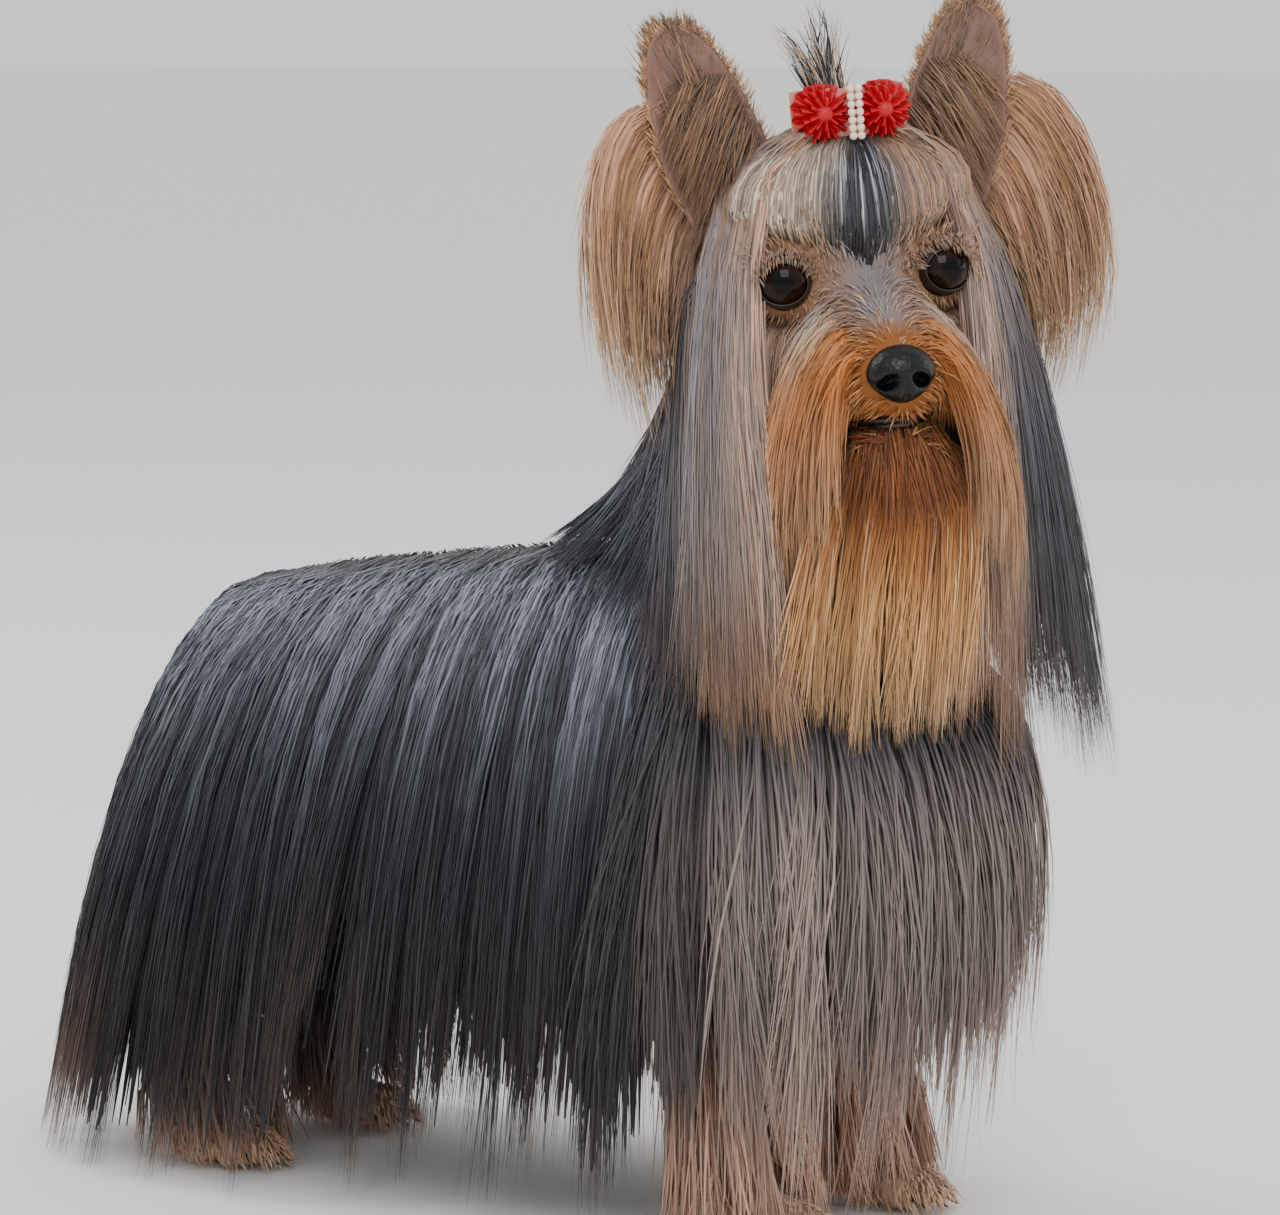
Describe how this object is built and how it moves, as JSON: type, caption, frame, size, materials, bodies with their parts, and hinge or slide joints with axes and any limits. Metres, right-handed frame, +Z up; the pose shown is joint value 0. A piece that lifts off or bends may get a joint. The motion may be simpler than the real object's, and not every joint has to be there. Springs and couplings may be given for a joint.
{
  "type": "yorkshire terrier",
  "caption": "Toy terrier standing with its head turned to its right, in a long silky parted coat that reaches the floor, its topknot tied in a red ribbon bow.",
  "frame": {"origin": "on the floor, under the middle of the whole's footprint", "axes": "-Y the way the body faces, -X the dog's right side, +Z up"},
  "size_m": [0.1408, 0.3266, 0.3616],
  "materials": {
    "coat_blue": "long silky hair, dark steel blue, with a sheen along its lie",
    "coat_tan": "hair of the head and legs, gold tan, darker at the root",
    "coat_grey": "long hair, taupe grey",
    "beard": "hair of the beard, rust at the root and gold at the tip",
    "eye": "wet gloss, near black brown",
    "nose": "moist black leather of a nose",
    "ribbon": "ruffled crimson ribbon",
    "beads": "pale pearl beads"
  },
  "bodies": {
    "root": {"eye_right": "eye", "eye_left": "eye", "nose": "nose", "bow_right": "ribbon", "bow_left": "ribbon", "bow_centre": "beads", "head": "coat_tan", "ear_right": "coat_tan", "ear_left": "coat_tan", "neck": "coat_blue", "beard": "beard", "fall_right": "coat_grey", "fall_left": "coat_grey", "torso_right": "coat_blue", "torso_left": "coat_blue", "chest": "coat_grey", "tail": "coat_blue", "leg_front_right": "coat_tan", "leg_hind_right": "coat_tan", "leg_front_left": "coat_tan", "leg_hind_left": "coat_tan", "topknot": "coat_blue"}
  },
  "joints": []
}
